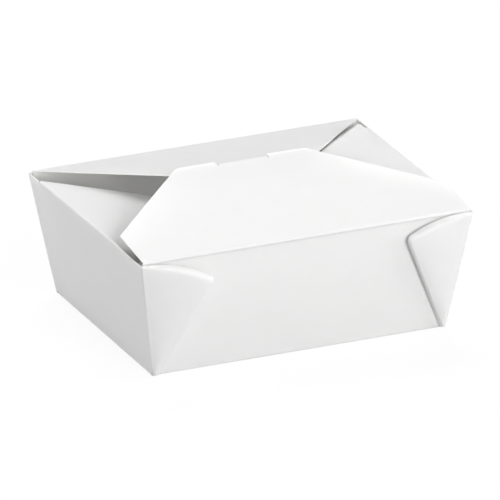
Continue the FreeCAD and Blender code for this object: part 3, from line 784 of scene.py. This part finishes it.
def backdrop_material():
    """White for the camera and in reflections, with some of its own shading, and pale to other light."""
    material = bpy.data.materials.new("white_floor")
    material.use_nodes = True
    tree = material.node_tree
    tree.nodes.clear()
    link = tree.links.new
    path = node(tree, "ShaderNodeLightPath", (-600, 200))
    seen = node(tree, "ShaderNodeMath", (-400, 200))
    seen.operation = "ADD"
    link(path.outputs["Is Camera Ray"], seen.inputs[0])
    link(path.outputs["Is Glossy Ray"], seen.inputs[1])
    shown = node(tree, "ShaderNodeMath", (-200, 200))
    shown.operation = "ADD"
    shown.use_clamp = True
    link(seen.outputs["Value"], shown.inputs[0])
    link(path.outputs["Is Transmission Ray"], shown.inputs[1])
    white = node(tree, "ShaderNodeEmission", (-400, 0), Color=(1, 1, 1, 1), Strength=1.0)
    shaded = node(tree, "ShaderNodeBsdfDiffuse", (-400, -150), Color=(1, 1, 1, 1))
    pale = node(tree, "ShaderNodeBsdfDiffuse", (-400, -300), Color=FLOOR_PALE)
    mostly = node(tree, "ShaderNodeMixShader", (-200, -50), Fac=FLOOR_SHADE)
    link(white.outputs[0], mostly.inputs[1])
    link(shaded.outputs[0], mostly.inputs[2])
    either = node(tree, "ShaderNodeMixShader", (50, 0))
    link(shown.outputs["Value"], either.inputs["Fac"])
    link(pale.outputs[0], either.inputs[1])
    link(mostly.outputs[0], either.inputs[2])
    leave = node(tree, "ShaderNodeOutputMaterial", (250, 0))
    link(either.outputs[0], leave.inputs["Surface"])
    return material


# Studio: floor, world and lamps, each lamp with its place, its side and its watts
FLOOR_SHADE = 0.12
FLOOR_PALE = (0.5, 0.5, 0.5, 1)
FLOOR_SPAN = 16.0
FLOOR_DROP = 0.05 * MM
WORLD_LEVEL = 0.28
LAMPS = {
    "key": ((1.33, -0.53, 0.7), 0.7, 8.6),
    "front": ((0.1, -1.5, 0.5), 0.7, 17.0),
    "top": ((0.2, 1.0, 1.2), 0.9, 11.4),
    "left back": ((-1.3, 0.5, 0.6), 0.7, 9.7),
}


def studio():
    """A wide white floor, an even world that the camera sees as plain white, and four large soft lamps."""
    reach = FLOOR_SPAN / 2
    data = bpy.data.meshes.new("floor")
    corners = [(-reach, -reach), (reach, -reach), (reach, reach), (-reach, reach)]
    data.from_pydata([(x, y, -FLOOR_DROP) for x, y in corners], [], [(0, 1, 2, 3)])
    data.materials.append(backdrop_material())
    floor = bpy.data.objects.new("floor", data)
    bpy.context.scene.collection.objects.link(floor)

    world = bpy.data.worlds.new("studio")
    world.use_nodes = True
    bpy.context.scene.world = world
    tree = world.node_tree
    tree.nodes.clear()
    path = node(tree, "ShaderNodeLightPath", (-600, 0))
    light = node(tree, "ShaderNodeBackground", (-200, 100), Color=(1, 1, 1, 1), Strength=WORLD_LEVEL)
    white = node(tree, "ShaderNodeBackground", (-200, -100), Color=(1, 1, 1, 1), Strength=1.0)
    either = node(tree, "ShaderNodeMixShader", (50, 0))
    tree.links.new(path.outputs["Is Camera Ray"], either.inputs["Fac"])
    tree.links.new(light.outputs[0], either.inputs[1])
    tree.links.new(white.outputs[0], either.inputs[2])
    leave = node(tree, "ShaderNodeOutputWorld", (250, 0))
    tree.links.new(either.outputs[0], leave.inputs["Surface"])

    for name, (place, span, watts) in LAMPS.items():
        light = bpy.data.lights.new(name, "AREA")
        light.shape = "SQUARE"
        light.size = span
        light.energy = watts
        lamp = bpy.data.objects.new(name, light)
        lamp.location = place
        lamp.rotation_euler = Vector(place).to_track_quat("Z", "Y").to_euler()
        bpy.context.scene.collection.objects.link(lamp)


# Camera: long lens, from the front left and above
CAMERA_AZIMUTH = math.radians(-23.94)
CAMERA_ELEVATION = math.radians(21.93)
CAMERA_DISTANCE = 6.0
CAMERA_LIFT = 29.55 * MM
CAMERA_LENS = 873.0


def camera():
    """The camera at the photograph's angle, aimed level with the middle of the picture."""
    back = Vector(
        (
            math.sin(CAMERA_AZIMUTH) * math.cos(CAMERA_ELEVATION),
            -math.cos(CAMERA_AZIMUTH) * math.cos(CAMERA_ELEVATION),
            math.sin(CAMERA_ELEVATION),
        )
    )
    turn = back.to_track_quat("Z", "Y")
    data = bpy.data.cameras.new("camera")
    data.lens = CAMERA_LENS
    data.sensor_width = 36.0
    data.clip_end = 50.0
    made = bpy.data.objects.new("camera", data)
    made.rotation_euler = turn.to_euler()
    made.location = back * CAMERA_DISTANCE + turn @ Vector((0, CAMERA_LIFT, 0))
    bpy.context.scene.collection.objects.link(made)
    bpy.context.scene.camera = made


surface = paper_surface()
coated = board_material(
    "coated_white", surface, (0.9, 0.9, 0.895), mottling=0.03, roughness=0.42, relief=0.25, gloss=0.45
)
uncoated = board_material(
    "uncoated_white", surface, (0.9, 0.892, 0.865), mottling=0.05, roughness=0.62, relief=0.5, gloss=0.3
)
cut_edge = board_material(
    "cut_edge", surface, (0.87, 0.86, 0.835), mottling=0.1, roughness=0.75, relief=0.9, gloss=0.2
)
finishes = [coated, uncoated, cut_edge]

carton_board = Board()
long_strip(carton_board)
for hand in (-1, 1):
    side_strip(carton_board, hand)
for hand_x, hand_y in CORNERS:
    web(carton_board, hand_x, hand_y)
bottom_points(carton_board)
carton = carton_board.mesh("carton_board", finishes)
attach(carton, "carton")
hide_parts("carton")

flap_board = Board()
front_flap(flap_board)
flap = flap_board.mesh("front_flap_board", finishes)
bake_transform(flap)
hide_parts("front_flap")

studio()
camera()
bpy.context.scene.view_settings.view_transform = "Standard"
